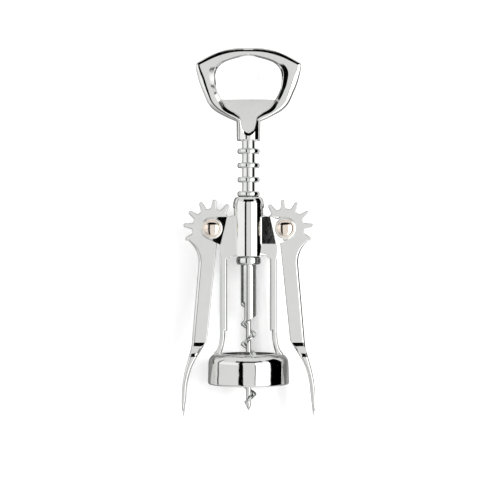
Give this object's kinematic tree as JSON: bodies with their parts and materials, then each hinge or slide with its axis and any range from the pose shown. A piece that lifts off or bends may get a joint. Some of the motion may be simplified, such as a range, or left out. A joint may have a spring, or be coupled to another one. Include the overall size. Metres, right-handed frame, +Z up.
{
  "type": "wing corkscrew",
  "caption": "Double-lever corkscrew: a bell seats on the bottle, geared levers ride a ringed shaft with a pointed worm, and the loop handle opens crown caps.",
  "frame": {"origin": "centre of the bell's rim, in the plane that the rim lies in", "axes": "+Z up the shaft from the bell to the handle, +X out over the right lever, -Y the front, where the rivets' domed heads are"},
  "size_m": [0.0632, 0.0384, 0.1745],
  "materials": {
    "chromed_castings": "polished chrome over a zinc casting",
    "plated_steel": "bright plated steel, slightly darker than the castings",
    "coppered_rivets": "rose-gold plated, polished"
  },
  "bodies": {
    "frame": {"bell_frame": "chromed_castings", "right_pivot_rivet": "coppered_rivets", "left_pivot_rivet": "coppered_rivets", "right_front_washer": "coppered_rivets", "left_front_washer": "coppered_rivets", "right_back_washer": "coppered_rivets", "left_back_washer": "coppered_rivets"},
    "collar": {"stop_collar": "plated_steel"},
    "spindle": {"rack_shaft": "plated_steel", "handle": "chromed_castings", "worm": "plated_steel"},
    "right_wing": {"right_lever": "chromed_castings"},
    "left_wing": {"left_lever": "chromed_castings"}
  },
  "joints": [
    {"name": "rack_slide", "type": "slide", "parent": "frame", "child": "collar", "axis": [0, 0, -1], "range_m": [0, 0.0263]},
    {"name": "spindle_spin", "type": "hinge", "parent": "collar", "child": "spindle", "pos_m": [0, 0, 0.0737], "axis": [0, 0, 1], "continuous": true},
    {"name": "right_lever_swing", "type": "hinge", "parent": "frame", "child": "right_wing", "pos_m": [0.01724, 0, 0.0737], "axis": [0, -1, 0], "range_deg": [0, 114.2]},
    {"name": "left_lever_swing", "type": "hinge", "parent": "frame", "child": "left_wing", "pos_m": [-0.01724, 0, 0.0737], "axis": [0, 1, 0], "range_deg": [0, 114.2]}
  ],
  "couplings": [
    {"joint": "right_lever_swing", "follows": "rack_slide", "rad_per_m": 75.76},
    {"joint": "left_lever_swing", "follows": "rack_slide", "rad_per_m": 75.76}
  ]
}
